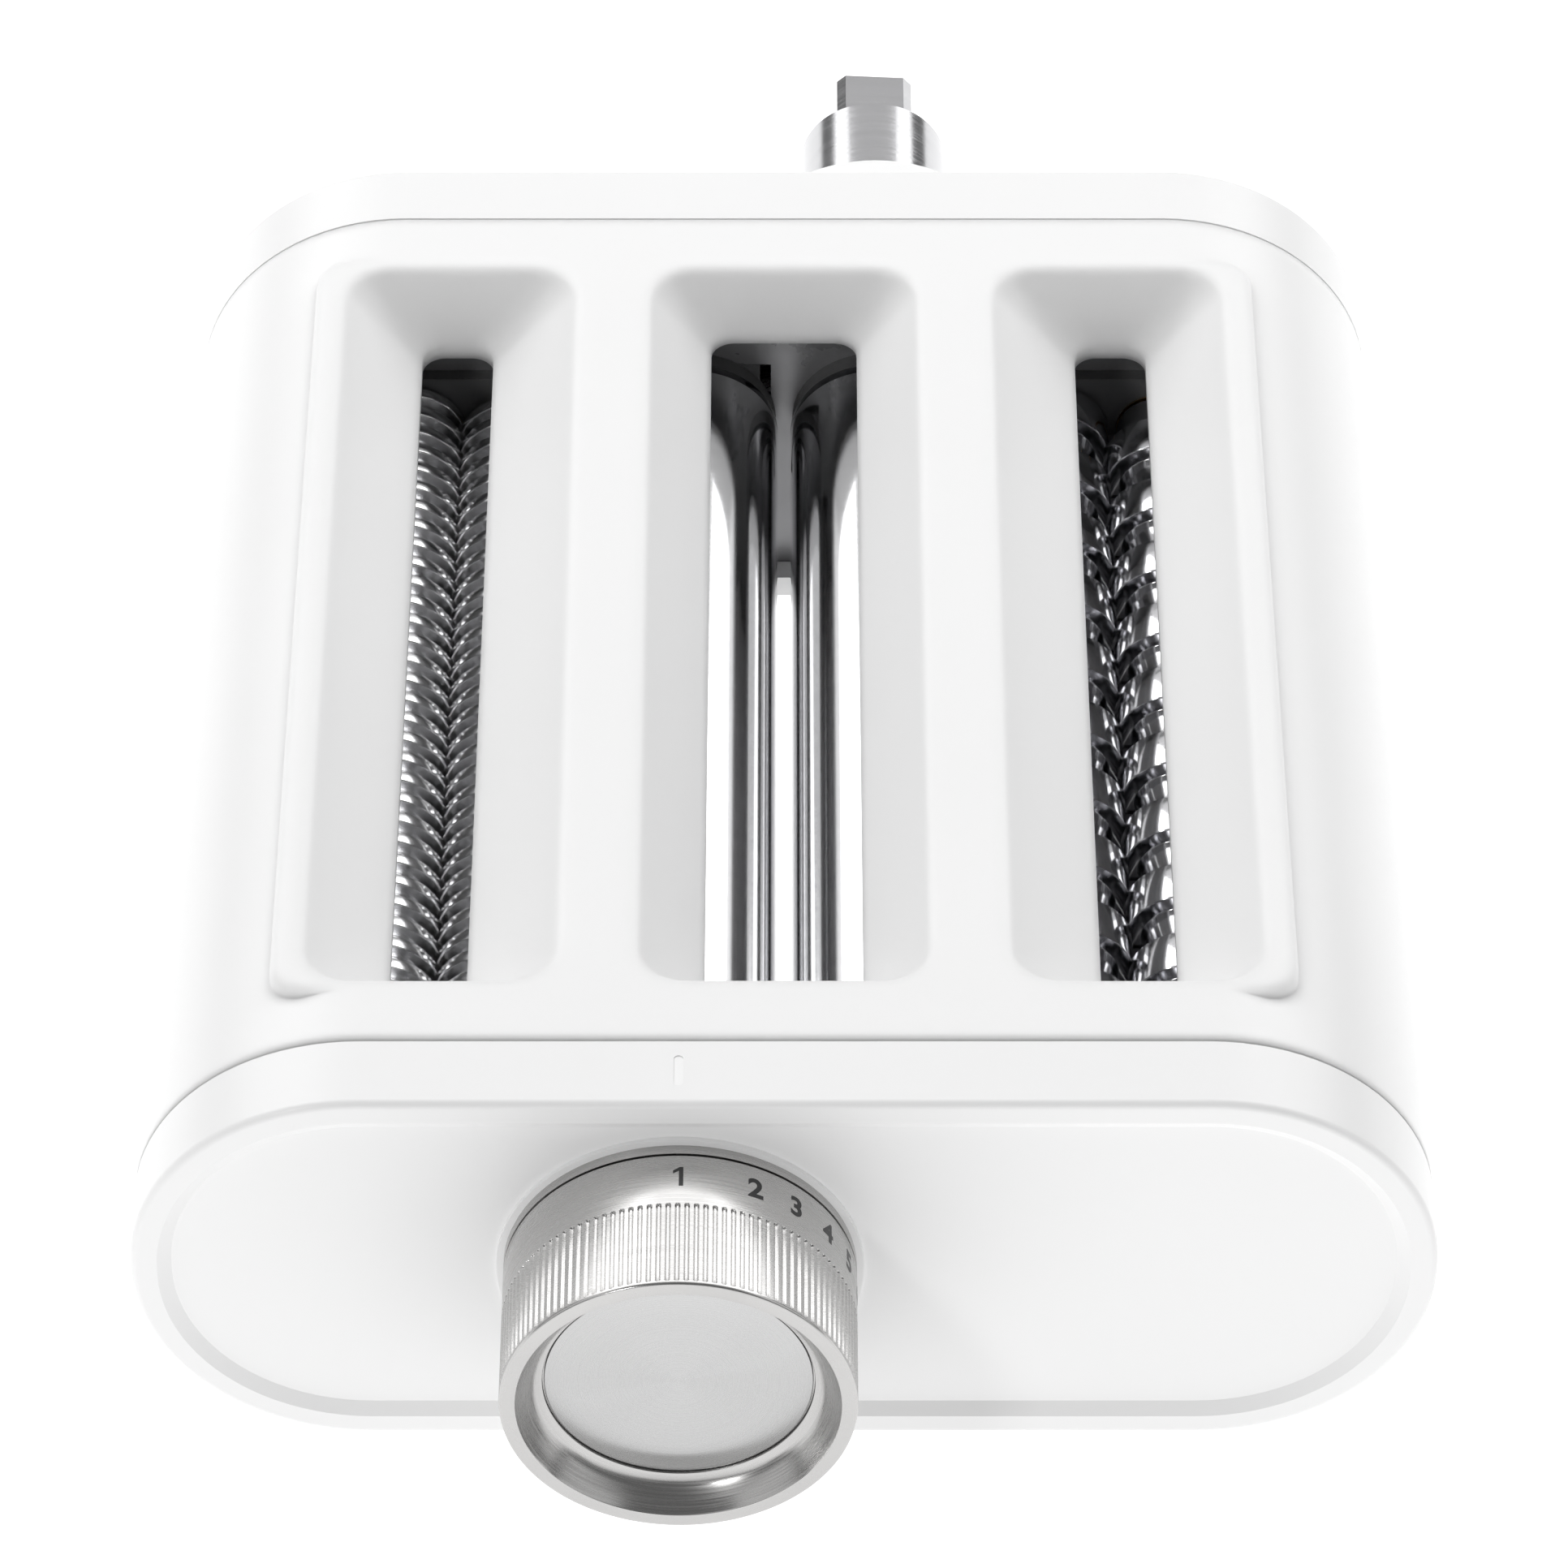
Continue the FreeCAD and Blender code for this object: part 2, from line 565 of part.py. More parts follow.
def end_blocks():
    """Dark blocks that close each cutter bay and carry its combs."""
    for name, side in (("fine_end_blocks", -1), ("wide_end_blocks", 1)):
        blocks = []
        for end, y in (("front", "body_mid - plate_half"), ("rear", "body_mid + plate_half - 2.1")):
            slab = block(f"{name}_{end}_slab", f"{side} * cutter_mid - 15.8", y, "axis_height - 14", 31.6, 2.1, 23)
            bores = [
                rod(f"{name}_{end}_{index}", "shaft_cutter + bush_wall", 10,
                    f"{side} * cutter_mid + {half}", f"{y} - 4", "axis_height")
                for index, half in enumerate(("cutter_half", "-cutter_half"))
            ]
            blocks.append(cut(f"{name}_{end}", slab, bores))
        node(name, group(name, blocks))


# ---------------------------------------------------------------- rollers and cutters

def disc_stack(x, pitch, first, count, extra=0.0):
    """Cutter turned from one bar: discs on a core. extra grows it to the space it needs."""
    gap = D["disc_clearance"]
    low = D["body_mid"] - D["roller_length"] / 2
    high = low + D["roller_length"]
    core, tip = D["cutter_core"] + extra, D["cutter_radius"] + extra
    points = [(0, low - extra), (core, low - extra)]
    for index in range(count):
        start = max(low - extra, first + index * pitch + gap - extra)
        stop = min(high + extra, first + index * pitch + pitch / 2 - gap + extra)
        if index == 0 and start <= low:
            points[-1] = (tip, low - extra)
        else:
            points += [(core, start), (tip, start)]
        points += [(tip, stop), (core, stop)]
    if points[-1][1] < high + extra - 1e-6:
        points.append((core, high + extra))
    points.append((0, points[-1][1]))
    axis = Vector(x, 0, D["axis_height"])
    outline = [axis + Vector(radius, y, 0) for radius, y in points]
    face = Part.Face(Part.makePolygon(outline + outline[:1]))
    return face.revolve(axis, Vector(0, 1, 0), 360)


def cutters():
    """Both cutter pairs, with journals, and the combs that strip their grooves."""
    low = D["body_mid"] - D["roller_length"] / 2
    journal = D["plate_half"] + D["plate"] + 2 * (D["gear_width"] + D["gear_gap"]) + D["flange"] + 1.0
    for kind, side in (("fine", -1), ("wide", 1)):
        count = int(D[kind + "_count"])
        pitch = D["roller_length"] / count
        combs = []
        for place_name, hand in (("outer", side), ("inner", -side)):
            x = side * D["cutter_mid"] + hand * D["cutter_half"]
            partner = side * D["cutter_mid"] - hand * D["cutter_half"]
            # The cutter on the left of each pair has its last disc at the rear end.
            first = low + pitch / 2 if hand < 0 else low
            body = disc_stack(x, pitch, first, count)
            start = D["body_mid"] - D["plate_half"] - D["plate"] - 0.8
            shaft = Part.makeCylinder(D["shaft_cutter"], D["body_mid"] + journal - start,
                                      Vector(x, start, D["axis_height"]), Vector(0, 1, 0))
            node(f"{kind}_cutter_{place_name}", feature(f"{kind}_cutter_{place_name}", body.fuse(shaft)))
            combs.append(comb(x, partner, disc_stack(x, pitch, first, count, 0.3)))
        node(f"{kind}_combs", feature(f"{kind}_combs", Part.makeCompound(combs)))


def comb(x, partner, swept):
    """Bar under one cutter with a finger in each groove, clear of both cutters."""
    toward = math.copysign(1, partner - x)
    nip_side = x + toward * (D["cutter_half"] - 0.5)
    far_side = x - toward * 6.0
    low, high = D["axis_height"] - 12.5, D["axis_height"] - 1.5
    length = 2 * (D["plate_half"] - 2.1)
    start = D["body_mid"] - length / 2
    bar = Part.makeBox(abs(nip_side - far_side), length, high - low,
                       Vector(min(nip_side, far_side), start, low))
    reach = D["cutter_radius"] + 0.3
    other = Part.makeCylinder(reach, length, Vector(partner, start, D["axis_height"]), Vector(0, 1, 0))
    core = Part.makeCylinder(D["cutter_core"] + 0.3, length, Vector(x, start, D["axis_height"]),
                             Vector(0, 1, 0))
    cutout = bar.cut([swept, other, core])
    return max(cutout.Solids, key=lambda solid: solid.Volume)


def smooth_rollers():
    for side, x, shaft in (("left", "-roller_axis", "shaft_left"), ("right", "roller_axis", "shaft_right")):
        start = "body_mid - roller_length / 2"
        bar = rod(f"{side}_roller_bar", "roller_radius", "roller_length", x, start, "axis_height")
        bore = rod(f"{side}_roller_bore", shaft, "roller_length + 2", x, f"{start} - 1", "axis_height")
        node(f"{side}_roller", cut(f"{side}_roller", bar, [bore]))
    node("left_roller_shaft",
         rod("left_roller_shaft", "shaft_left",
             "2 * plate_half + 2 * plate + 2 * flange + gear_width + 1.5", "-roller_axis",
             "body_mid - plate_half - plate - flange - 0.5", "axis_height"))


def drive_shaft():
    """Shaft through the right roller, the gears and the hub sleeve, ending in the square tang."""
    start = "body_mid - plate_half - plate - 2"
    shoulder = "body_mid + body_half - wall - 1.2"
    end = "body_mid + body_half + hub_boss_length + sleeve_length"
    front = rod("shaft_front", "shaft_right", f"{shoulder} - ({start})", "roller_axis", start, "axis_height")
    hub = rod("shaft_in_hub", "shaft_hub", f"{end} - ({shoulder})", "roller_axis", shoulder, "axis_height")
    turn = Rotation(Vector(0, 1, 0), D["tang_turn"])
    bars = []
    for name, width, extra in (("square", "tang", 0), ("corners", "tang_corner", 45)):
        bar = doc.addObject("Part::Box", f"tang_{name}")
        bind(bar, Length=width, Width="tang_length + 2", Height=width)
        angle = math.radians(D["tang_turn"] + extra)
        # The box turns about its own corner, so the corner is set back by half its turned diagonal.
        across, up = math.cos(angle) + math.sin(angle), math.cos(angle) - math.sin(angle)
        bars.append(place(bar, f"roller_axis - {width} / 2 * {across:.6f}", f"{end} - 2",
                          f"axis_height - {width} / 2 * {up:.6f}", Rotation(Vector(0, 1, 0), math.degrees(angle))))
    tang = common("tang_bar", bars[0], bars[1])
    node("drive_shaft", merge("drive_shaft", [front, hub, tang]))


# ---------------------------------------------------------------- gears

def involute(angle):
    return math.tan(angle) - angle


def gear(name, x, z, module, teeth, y, bore, phase, backlash, pocket=0.0):
    """Spur gear along Y with involute flanks; phase is the direction of one tooth in degrees."""
    pressure = math.radians(20)
    pitch = module * teeth / 2
    base = pitch * math.cos(pressure)
    tip, root = pitch + 0.95 * module, pitch - 1.2 * module
    half_pitch = math.pi / (2 * teeth) - backlash / (4 * pitch)

    def half_angle(radius):
        return half_pitch + involute(pressure) - involute(math.acos(min(1.0, base / radius)))

    def point(radius, angle):
        return Vector(x + radius * math.cos(angle), y, z + radius * math.sin(angle))

    lowest = max(base, root) + 1e-3
    flank = [lowest, (lowest + tip) / 2, tip]
    edges = []
    for index in range(teeth):
        middle = math.radians(phase) + 2 * math.pi * index / teeth
        rise = [point(r, middle - half_angle(r)) for r in flank]
        fall = [point(r, middle + half_angle(r)) for r in reversed(flank)]
        foot = half_angle(lowest)
        gap = math.pi / teeth
        edges.append(Part.Arc(point(root, middle - 2 * gap + foot), point(root, middle - gap),
                              point(root, middle - foot)).toShape())
        if root < lowest - 1e-2:
            edges.append(Part.makeLine(point(root, middle - foot), rise[0]))
        edges.append(Part.Arc(*rise).toShape())
        edges.append(Part.Arc(rise[-1], point(tip, middle), fall[0]).toShape())
        edges.append(Part.Arc(*fall).toShape())
        if root < lowest - 1e-2:
            edges.append(Part.makeLine(fall[-1], point(root, middle + foot)))
    blank = Part.Face(Part.Wire(Part.__sortEdges__(edges))).extrude(Vector(0, D["gear_width"], 0))
    holes = [Part.makeCylinder(bore, D["gear_width"] + 2, Vector(x, y - 1, z), Vector(0, 1, 0))]
    if pocket:
        holes.append(Part.makeCylinder(pocket, 2.3, Vector(x, y - 1, z), Vector(0, 1, 0)))
    node(name, feature(name, blank.cut(holes)))


def mesh_phase(phase, teeth, other_teeth, direction):
    """Phase of a gear that meshes with one of this phase, along a direction in degrees."""
    offset = ((direction - phase) / (360 / teeth)) % 1.0
    return direction + 180 + (offset + 0.5) * 360 / other_teeth


def idler_centre():
    """Centre of the idler, above the line from the drive gear to the left inner cutter."""
    far = D["roller_axis"] + D["cutter_mid"] - D["cutter_half"]
    to_drive = D["cutter_module"] * (D["drive_teeth"] + D["idler_teeth"]) / 2
    to_cutter = D["cutter_module"] * (D["cutter_teeth"] + D["idler_teeth"]) / 2
    along = (to_drive ** 2 - to_cutter ** 2 + far ** 2) / (2 * far)
    return D["roller_axis"] - along, D["axis_height"] + math.sqrt(to_drive ** 2 - along ** 2)


def idler_place(y):
    x, z = idler_centre()
    return f"{x:.4f}", y, f"{z:.4f}"


def gears():
    high = D["axis_height"]
    plane_a = D["body_mid"] + D["plate_half"] + D["plate"] + D["flange"] + D["gear_gap"]
    plane_b = plane_a + D["gear_width"] + D["gear_gap"]
    module, teeth = D["roller_module"], int(D["roller_teeth"])
    slack = 0.35
    gear("right_roller_gear", D["roller_axis"], high, module, teeth, plane_a, D["shaft_right"], 180, slack)
    gear("left_roller_gear", -D["roller_axis"], high, module, teeth, plane_a, D["shaft_left"],
         mesh_phase(180, teeth, teeth, 180), slack)
    module = D["cutter_module"]
    drive, small, idle = int(D["drive_teeth"]), int(D["cutter_teeth"]), int(D["idler_teeth"])
    inner, outer = D["cutter_mid"] - D["cutter_half"], D["cutter_mid"] + D["cutter_half"]
    slack = 0.3
    gear("cutter_drive_gear", D["roller_axis"], high, module, drive, plane_b, D["shaft_right"], 0, slack)
    right = mesh_phase(0, drive, small, 0)
    gear("wide_gear_inner", inner, high, module, small, plane_b, D["shaft_cutter"], right, slack)
    gear("wide_gear_outer", outer, high, module, small, plane_b, D["shaft_cutter"],
         mesh_phase(right, small, small, 0), slack)
    x, z = idler_centre()
    to_idler = math.degrees(math.atan2(z - high, x - D["roller_axis"]))
    idler = mesh_phase(0, drive, idle, to_idler)
    gear("idler_gear", x, z, module, idle, plane_b, D["idler_stud"] + D["running"], idler, slack,
         D["idler_stud"] + 2)
    to_cutter = math.degrees(math.atan2(high - z, -inner - x))
    left = mesh_phase(idler, idle, small, to_cutter)
    gear("fine_gear_inner", -inner, high, module, small, plane_b, D["shaft_cutter"], left, slack)
    gear("fine_gear_outer", -outer, high, module, small, plane_b, D["shaft_cutter"],
         mesh_phase(left, small, small, 180), slack)
    back = "body_mid + body_half - wall - 1.9"
    stud_start = f"{plane_b + 0.1:.3f}"
    stud = rod("stud_pin", "idler_stud", f"{back} - ({stud_start}) + 1.8", *idler_place(stud_start))
    node("idler_stud", stud)
    x, y, z = idler_place(f"{plane_b + 0.3:.3f}")
    node("idler_clip", ring("idler_clip", "idler_stud + 1.6", "idler_stud", 0.8, x, y, z))


# ---------------------------------------------------------------- hub

def hub():
    back = "body_mid + body_half"
    start = f"{back} - wall"
    length = "wall + hub_boss_length + sleeve_length"
    tube = rod("sleeve_tube", "sleeve_radius", length, "roller_axis", start, "axis_height")
    seat = rod("sleeve_in_boss", "sleeve_seat", "wall + hub_boss_length", "roller_axis", start, "axis_height")
    flange = rod("sleeve_flange", 14.5, 1.0, "roller_axis", f"{start} - 1.0", "axis_height")
    bore = rod("sleeve_hole", "sleeve_bore", 80, "roller_axis", f"{start} - 10", "axis_height")
    node("hub_sleeve", cut("hub_sleeve", merge("sleeve_blank", [tube, seat, flange]), [bore]))
    node("hub_bush", ring("hub_bush", "sleeve_bore", "shaft_hub + running", f"{length} - 2.4",
                          "roller_axis", f"{start} + 1", "axis_height"))
    node("shaft_seal", ring("shaft_seal", "sleeve_bore", "shaft_hub + running", 1.1, "roller_axis",
                            f"{back} + hub_boss_length + sleeve_length - 1.3", "axis_height"))


# ---------------------------------------------------------------- sliding carriage

def carriage():
    """Bearing blocks of the left roller, the rods that join them, follower pin and scraper."""
    bushes = []
    for end, sign in (("front", -1), ("rear", 1)):
        boss_y = "body_mid + roller_length / 2 + 0.1" if sign > 0 else "body_mid - plate_half + slide_gap"
        boss = rod(f"{end}_boss", "boss_radius", "plate_half - roller_length / 2 - 0.1 - slide_gap",
                   "-roller_axis", boss_y, "axis_height")
        window_y = "body_mid + plate_half - slide_gap" if sign > 0 else "body_mid - plate_half - plate - slide_gap"
        window = block(f"{end}_window_part", "-roller_axis - window_half", window_y, "axis_height - window_half",
                       "2 * window_half", "plate + 2 * slide_gap", "2 * window_half")
        flange_y = ("body_mid + plate_half + plate + slide_gap" if sign > 0
                    else "body_mid - plate_half - plate - slide_gap - flange")
        yoke = block(f"{end}_yoke", "-roller_axis - 16", flange_y, "lower_rod_z - 3", 26, "flange",
                     "upper_rod_z - lower_rod_z + 6")
        bore = rod(f"{end}_block_bore", "shaft_left + bush_wall", 20, "-roller_axis",
                   f"body_mid + {sign} * plate_half - 10", "axis_height")
        holes = [
            rod(f"{end}_rod_hole_{index}", "rod_radius", 6, x, f"{flange_y} - 2", z)
            for index, (x, z) in enumerate((("upper_rod_x", "upper_rod_z"), ("lower_rod_x", "lower_rod_z")))
        ]
        pieces = merge(f"{end}_block_blank", [boss, window, yoke])
        node(f"{end}_slide_block", cut(f"{end}_slide_block", pieces, [bore] + holes))
        bush_y = boss_y if sign > 0 else flange_y
        bushes.append(ring(f"left_bush_{end}", "shaft_left + bush_wall", "shaft_left + running",
                           "plate_half + plate + slide_gap + flange - roller_length / 2 - 0.1",
                           "-roller_axis", bush_y, "axis_height"))
    node("left_roller_bushes", group("left_roller_bushes", bushes))
    span = "2 * (plate_half + plate + slide_gap + flange)"
    start = "body_mid - plate_half - plate - slide_gap - flange"
    node("carriage_rods", group("carriage_rods", [
        rod("upper_rod", "rod_radius", span, "upper_rod_x", start, "upper_rod_z"),
        rod("lower_rod", "rod_radius", span, "lower_rod_x", start, "lower_rod_z"),
    ]))
    node("follower_pin", rod("follower_pin", "pin_radius", 3.2, "-roller_axis - groove_start",
                             f"{start} - 3.2", "axis_height"))


def scrapers():
    """Blades under the smooth rollers; the left one rides on the carriage's lower rod."""
    bar = rod("scraper_bar", "rod_radius", "2 * (plate_half + plate)", "-lower_rod_x",
              "body_mid - plate_half - plate", "lower_rod_z")
    node("scraper_bar", bar)
    tip_angle, thick = math.radians(-100), 0.8
    for side, sign, inset in (("left", 1, 0.3), ("right", -1, 0.0)):
        reach = D["roller_radius"] + 0.3
        tip_x = sign * (-D["roller_axis"] + reach * math.cos(tip_angle))
        tip_z = D["axis_height"] + reach * math.sin(tip_angle)
        bar_x, bar_z = sign * D["lower_rod_x"], D["lower_rod_z"]
        length = math.hypot(bar_x - tip_x, bar_z - tip_z) - D["rod_radius"] + 0.4
        turn = math.atan2(tip_z - bar_z, bar_x - tip_x)
        if sign < 0:
            tip_x, tip_z = tip_x - thick * math.sin(turn), tip_z - thick * math.cos(turn)
        blade = doc.addObject("Part::Box", f"{side}_blade")
        bind(blade, Length=f"{length:.4f}", Height=thick, Width=f"2 * plate_half - 2 * {inset}")
        place(blade, f"{tip_x:.4f}", f"body_mid - plate_half + {inset}", f"{tip_z:.4f}",
              Rotation(Vector(0, 1, 0), math.degrees(turn)))
        notch = rod(f"{side}_blade_notch", "rod_radius", LONG_CUT, f"{bar_x:.4f}", -200, "lower_rod_z")
        node(f"{side}_scraper", cut(f"{side}_scraper", blade, [notch]))


# ---------------------------------------------------------------- adjuster and knob

def dial_angles():
    """Angles of the dial numbers from number 1."""
    later = [D["first_step"] + D["dial_step"] * step for step in range(int(D["dial_numbers"]) - 1)]
    return [0.0] + later


def scroll_cam():
    """Disc with a spiral groove that draws the follower pin inwards as the knob turns."""
    centre = Vector(-D["roller_axis"], 0, D["axis_height"])
    rear = D["body_mid"] - D["plate_half"] - D["plate"] - D["slide_gap"] - D["flange"] - 1.1
    full_turn = dial_angles()[-1]

    def spiral(turn, shift):
        """Point of the groove that reaches the pin, on the left, after this turn of the knob."""
        radius = D["groove_start"] - D["travel"] * turn / full_turn + shift
        angle = math.radians(180 - turn)
        return centre + Vector(radius * math.cos(angle), rear, radius * math.sin(angle))

    extra, half = 9.0, D["pin_radius"] + 0.12
    steps = [-extra + (full_turn + 2 * extra) * index / 12 for index in range(13)]
    outer, inner = Part.BSplineCurve(), Part.BSplineCurve()
    outer.interpolate([spiral(turn, half) for turn in steps])
    inner.interpolate([spiral(turn, -half) for turn in steps])
    sides = [outer.toShape(), inner.toShape()]
    caps = [Part.makeLine(spiral(turn, half), spiral(turn, -half)) for turn in (steps[0], steps[-1])]
    groove = Part.Face(Part.Wire(Part.__sortEdges__(sides + caps)))
    groove = groove.extrude(Vector(0, -D["groove_depth"], 0))
    disc = Part.makeCylinder(D["cam_radius"], D["cam_width"], centre + Vector(0, rear, 0), Vector(0, -1, 0))
    bore = Part.makeCylinder(3, D["cam_width"] + 2, centre + Vector(0, rear + 1, 0), Vector(0, -1, 0))
    notches = []
    for turn in dial_angles():
        angle = math.radians(90 - turn)
        spot = centre + Vector((D["cam_radius"] + 0.6) * math.cos(angle), rear + 1,
                               (D["cam_radius"] + 0.6) * math.sin(angle))
        notches.append(Part.makeCylinder(1.3, D["cam_width"] + 2, spot, Vector(0, -1, 0)))
    node("scroll_cam", feature("scroll_cam", disc.cut([groove, bore] + notches)))
    return rear


def adjuster():
    rear = scroll_cam()
    front = rear - D["cam_width"]
    face = D["body_mid"] - D["body_half"]
    x, z = "-roller_axis", "axis_height"
    stub = rod("spindle_stub", 3, "cam_width", x, f"{front:.3f}", z)
    body_end = face - 3.6
    body = rod("spindle_body", "spindle_radius", f"{front - body_end:.3f}", x, f"{body_end:.3f}", z)
    neck_end = face - 16.3
    neck = rod("spindle_neck", 3.4, f"{body_end - neck_end:.3f}", x, f"{neck_end:.3f}", z)
    key_end = face - 8.8
    key = block("spindle_key", f"{x} - 4", f"{key_end:.3f}", f"{z} - 4", 8, f"{body_end - key_end:.3f}", 8)
    hole = rod("spindle_hole", 1.5, 8, x, f"{neck_end - 1:.3f}", z)
    node("knob_spindle", cut("knob_spindle", merge("spindle_blank", [stub, body, neck, key]), [hole]))
    node("knob_retainer", merge("knob_retainer", [
        rod("retainer_head", 7.2, 1.4, x, f"{neck_end - 1.4:.3f}", z),
        rod("retainer_shank", 1.5, 6.8, x, f"{neck_end - 0.2:.3f}", z),
    ]))
    node("spindle_bush", ring("spindle_bush", "spindle_radius + bush_wall", "spindle_radius + running",
                              6, x, f"{face + D['face_recess']:.3f}", z))
    leaf(rear)
    knob(face, key_end, neck_end)


def leaf(rear):
    """Detent spring: a strip above the cam whose bump rests in a notch of its rim."""
    top = D["axis_height"] + D["cam_radius"]
    y = rear - 3.4
    x = -D["roller_axis"]
    strip = Part.makeBox(19, 2.8, 0.4, Vector(x - 15.5, y, top + 0.5))
    bump = Part.makeCylinder(0.8, 2.8, Vector(x, y, top + 0.85), Vector(0, 1, 0))
    node("detent_leaf", feature("detent_leaf", strip.fuse(bump).removeSplitter()))


def knob(face, key_end, neck_end):
    """Aluminium knob: numbered skirt, fluted grip, recessed face with a turned disc, and its spring."""
    x, z = "-roller_axis", "axis_height"
    tip = face - D["knob_reach"]
    back = face - D["bezel_front"] - D["knob_gap"]
    web = tip + D["disc_depth"]
    centre = Vector(-D["roller_axis"], 0, D["axis_height"])
    outline = [(0, back), (D["knob_radius"] - 0.2, back), (D["knob_radius"], back - 0.2),
               (D["knob_radius"], tip + 0.25), (D["knob_radius"] - 0.25, tip), (D["knob_rim"], tip),
               (D["disc_radius"] + 1.8, web + 0.8), (D["disc_radius"], web + 0.2), (D["disc_radius"], web + 0.9),
               (0, web + 0.9)]
    blank = lathe(centre, outline)
    cavity = lathe(centre, [(8.6, back + 1), (20.6, back + 1), (20.6, web + 2.4), (8.6, web + 2.4)])
    seat = key_end - 0.15
    pocket = lathe(centre, [(0, seat), (7.5, seat), (7.5, web), (0, web)])
    key_size = 8.1
    shoulder = Part.makeBox(key_size, back - key_end + 2, key_size,
                            centre + Vector(-key_size / 2, key_end - 0.5, -key_size / 2))
    clearance = lathe(centre, [(0, back + 1), (6.2, back + 1), (6.2, face - 3.9), (0, face - 3.9)])
    # Flutes stop short of the front rim, so that its edge stays round.
    start, length = tip + 0.85, D["knob_reach"] - D["bezel_front"] - D["knob_gap"] - D["skirt"] - 0.85
    count = int(D["flute_count"])
    flutes = []
    for index in range(count):
        angle = 2 * math.pi * index / count
        spot = centre + Vector((D["knob_radius"] + 0.12) * math.cos(angle), start,
                               (D["knob_radius"] + 0.12) * math.sin(angle))
        flutes.append(Part.makeCylinder(D["flute_depth"], length, spot, Vector(0, 1, 0)))
    body = blank.cut([cavity, pocket, shoulder, clearance]).cut(flutes)
    node("knob_body", feature("knob_body", body))
    node("knob_face_disc", rod("knob_face_disc", "disc_radius - 0.08", 0.88, x, f"{web:.3f}", z))
    bezel = ring("knob_bezel", "knob_radius", "knob_radius - 2.1", "bezel_height", x,
                 f"{face - D['bezel_front']:.3f}", z)
    node("knob_bezel", bezel)
    wire, coil, turns = 0.45, 5.4, 3.5
    low, high = neck_end + wire + 0.05, seat - wire - 0.05
    pitch = (high - low) / turns
    sections, sides = [], 12
    for index in range(int(turns * 16) + 1):
        angle = 2 * math.pi * index / 16
        out = Vector(math.cos(angle), 0, math.sin(angle))
        along = Vector(-coil * out.z, pitch / (2 * math.pi), coil * out.x)
        side = along.normalize().cross(out)
        middle = centre + out * coil + Vector(0, low + pitch * index / 16, 0)
        points = [
            middle + out * (wire * math.cos(2 * math.pi * k / sides)) + side * (wire * math.sin(2 * math.pi * k / sides))
            for k in range(sides)
        ]
        sections.append(Part.makePolygon(points + points[:1]))
    spring = Part.makeLoft(sections, True, True)
    node("knob_spring", feature("knob_spring", spring))


def lathe(centre, outline):
    """Solid turned about the Y axis through centre; outline holds (radius, y)."""
    points = [centre + Vector(radius, y, 0) for radius, y in outline]
    face = Part.Face(Part.makePolygon(points + points[:1]))
    return face.revolve(centre, Vector(0, 1, 0), 360)


# ---------------------------------------------------------------- build and write

def check():
    """Stop on any failed object or bad solid."""
    doc.recompute()
    bad = [item.Name for item in doc.Objects if "Invalid" in item.State or "Error" in item.State]
    for name, item in nodes.items():
        shape = item.Shape
        if shape.isNull() or not shape.isValid() or not shape.Solids or shape.Volume <= 0:
            bad.append(name)
    if bad:
        raise RuntimeError(f"failed objects: {sorted(set(bad))}")


def export():
    os.makedirs("parts", exist_ok=True)
    for old in os.listdir("parts"):
        os.remove(os.path.join("parts", old))
    for name, item in nodes.items():
        item.Shape.exportStep(os.path.join("parts", name + ".step"))
        box = item.Shape.BoundBox
        print(f"{name:24s} solids {len(item.Shape.Solids):3d}  volume {item.Shape.Volume:10.1f}  "
              f"X {box.XMin:7.2f} {box.XMax:7.2f}  Y {box.YMin:8.2f} {box.YMax:8.2f}  "
              f"Z {box.ZMin:6.2f} {box.ZMax:6.2f}")


make_sheet()
upper_shell()
lower_shell()
front_cover()
rear_cover()
plates()
spacers_and_screws()
fixed_bearings()
end_blocks()
cutters()
smooth_rollers()
drive_shaft()
gears()
hub()
carriage()
scrapers()
adjuster()
check()
export()
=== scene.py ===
"""Looks of the pasta roller and cutter attachment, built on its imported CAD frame.

Everything is in metres in the CAD frame: +X right, +Y from the dial to the drive tang, +Z up.
"""

import json
import math

import bmesh
import bpy
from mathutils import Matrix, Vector


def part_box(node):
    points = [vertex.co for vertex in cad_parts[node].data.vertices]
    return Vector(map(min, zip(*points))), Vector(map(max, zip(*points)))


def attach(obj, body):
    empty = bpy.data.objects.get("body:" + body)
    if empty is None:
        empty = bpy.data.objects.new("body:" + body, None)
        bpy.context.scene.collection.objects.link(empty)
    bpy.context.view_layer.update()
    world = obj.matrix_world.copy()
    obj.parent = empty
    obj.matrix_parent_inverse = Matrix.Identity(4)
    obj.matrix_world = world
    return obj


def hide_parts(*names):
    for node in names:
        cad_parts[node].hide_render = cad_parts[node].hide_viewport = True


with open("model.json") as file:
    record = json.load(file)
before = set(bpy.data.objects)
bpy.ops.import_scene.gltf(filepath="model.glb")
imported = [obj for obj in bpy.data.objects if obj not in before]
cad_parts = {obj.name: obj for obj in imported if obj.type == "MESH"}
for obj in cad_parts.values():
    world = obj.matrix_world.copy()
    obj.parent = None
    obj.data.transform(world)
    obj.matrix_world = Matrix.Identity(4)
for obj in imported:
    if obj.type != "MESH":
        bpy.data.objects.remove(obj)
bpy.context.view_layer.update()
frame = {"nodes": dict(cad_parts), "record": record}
scene = bpy.context.scene
MM = 0.001

